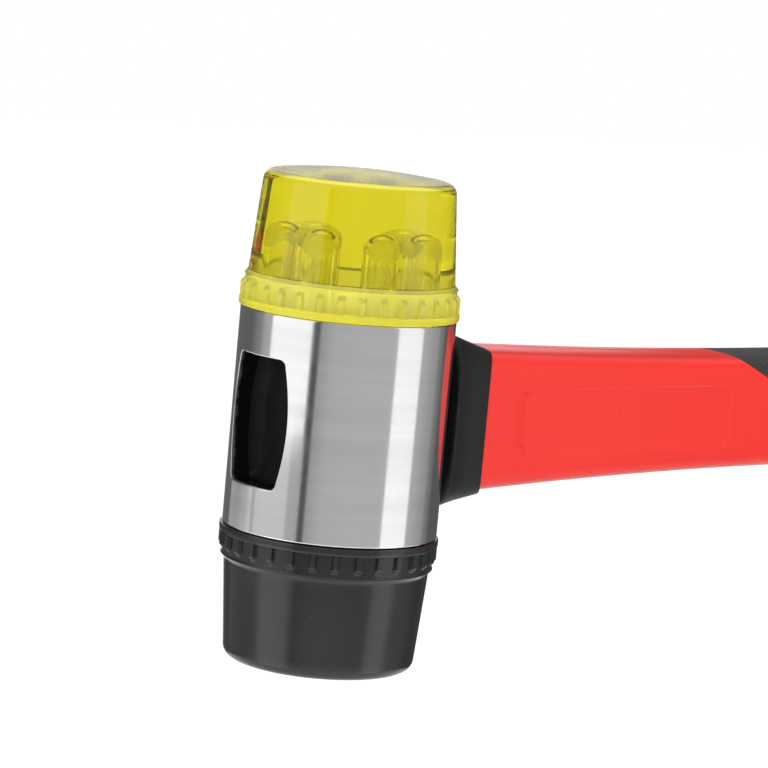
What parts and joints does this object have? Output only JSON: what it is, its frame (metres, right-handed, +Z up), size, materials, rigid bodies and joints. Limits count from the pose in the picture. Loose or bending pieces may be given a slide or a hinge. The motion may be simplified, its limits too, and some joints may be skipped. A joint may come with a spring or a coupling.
{
  "type": "soft face hammer",
  "caption": "Hammer with a steel head tube, screw-in clear and black rubber faces, and a two-colour moulded handle on a glass fibre core.",
  "frame": {"origin": "centre of the flat striking surface of the rubber face, on the head's axis", "axes": "+Z up the head's axis, from the rubber face to the clear face; +X along the handle to the butt; +Y across the handle"},
  "size_m": [0.3003, 0.0358, 0.0804],
  "materials": {
    "steel": "satin ground along the tube",
    "clear_yellow": "polished, see-through",
    "black_rubber": "smooth moulded",
    "black_resin": "glossy, poured",
    "glass_fibre": "pulled fibre",
    "red_plastic": "smooth moulded, soft sheen",
    "grip_rubber": "fine matte texture"
  },
  "bodies": {
    "hammer": {"head_tube": "steel", "eye_resin": "black_resin", "handle_core": "glass_fibre", "handle_jacket": "red_plastic", "neck_collar": "grip_rubber", "grip_sleeve": "grip_rubber"},
    "clear_end": {"clear_face": "clear_yellow"},
    "rubber_end": {"rubber_face": "black_rubber"}
  },
  "joints": [
    {"name": "clear_face_unscrew", "type": "slide", "parent": "hammer", "child": "clear_end", "axis": [0, 0, 1], "range_m": [0, 0.0065]},
    {"name": "rubber_face_unscrew", "type": "slide", "parent": "hammer", "child": "rubber_end", "axis": [0, 0, -1], "range_m": [0, 0.0065]}
  ]
}
